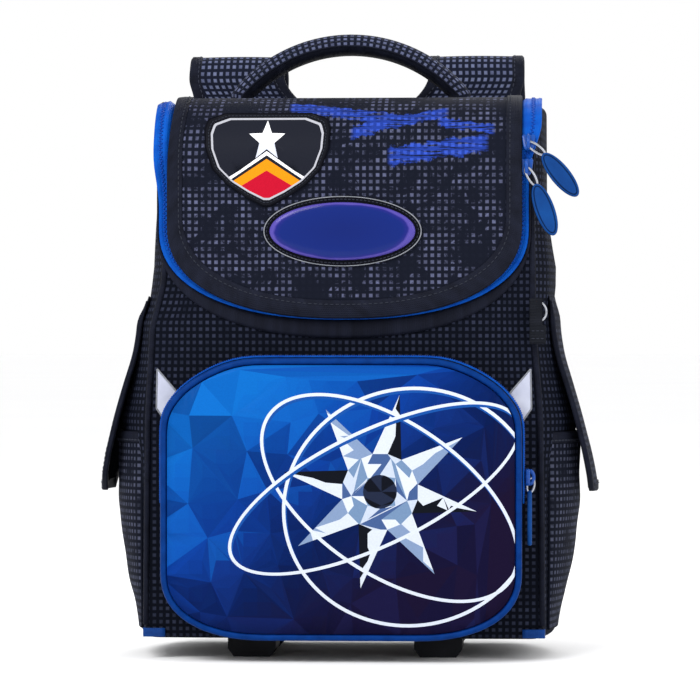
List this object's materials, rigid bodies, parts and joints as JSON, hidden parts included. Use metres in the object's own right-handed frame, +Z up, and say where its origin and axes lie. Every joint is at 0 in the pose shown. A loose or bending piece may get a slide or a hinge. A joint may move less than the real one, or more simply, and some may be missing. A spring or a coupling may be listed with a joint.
{
  "type": "orthopedic school backpack",
  "caption": "Upright rigid school backpack with a U-zipped lid, zipped front pocket, covered side pockets, carry handle, padded back and shoulder straps.",
  "frame": {"origin": "on the ground, under the middle of the whole bag's box", "axes": "+Z up, -Y towards the front pocket, +X towards the side with the lid's zip pulls"},
  "size_m": [0.3432, 0.227, 0.4187],
  "materials": {
    "printed_cloth": "matte woven polyester with a printed square grid",
    "black_cloth": "matte ribbed tape and webbing",
    "air_mesh": "soft knitted spacer mesh",
    "blue_cloth": "satin blue tape and piping",
    "blue_print": "smooth printed satin polyester",
    "badge_gel": "domed glossy resin",
    "blue_rubber": "soft matte moulded rubber",
    "steel": "polished plated steel",
    "black_plastic": "satin moulded plastic",
    "reflective_film": "light grey retroreflective film"
  },
  "bodies": {
    "root": {"body_shell": "printed_cloth", "lid_flap": "printed_cloth", "lid_binding": "black_cloth", "lid_zip": "blue_cloth", "opening_band": "black_cloth", "badge_rim": "black_cloth", "badge_dome": "badge_gel", "shield_patch": "black_cloth", "front_pocket": "blue_print", "pocket_piping": "blue_cloth", "pocket_zip": "blue_cloth", "pocket_slider": "steel", "pocket_pull": "blue_rubber", "slider_upper": "steel", "slider_lower": "steel", "pull_upper": "blue_rubber", "pull_lower": "blue_rubber", "handle": "printed_cloth", "back_panel": "air_mesh", "d_ring": "steel", "hang_loop": "black_cloth", "edge_piping_left": "black_cloth", "edge_piping_right": "black_cloth", "side_pocket_left": "printed_cloth", "side_pocket_right": "printed_cloth", "side_flap_left": "printed_cloth", "side_flap_right": "printed_cloth", "reflector_left": "reflective_film", "reflector_right": "reflective_film", "corner_tab_left": "blue_cloth", "corner_tab_right": "blue_cloth", "shoulder_strap_left": "printed_cloth", "shoulder_strap_right": "printed_cloth", "ladder_lock_left": "black_plastic", "ladder_lock_right": "black_plastic", "strap_webbing_left": "black_cloth", "strap_webbing_right": "black_cloth", "webbing_anchor_left": "black_cloth", "webbing_anchor_right": "black_cloth", "foot_front_left": "black_plastic", "foot_front_right": "black_plastic", "foot_back_left": "black_plastic", "foot_back_right": "black_plastic"}
  },
  "joints": []
}
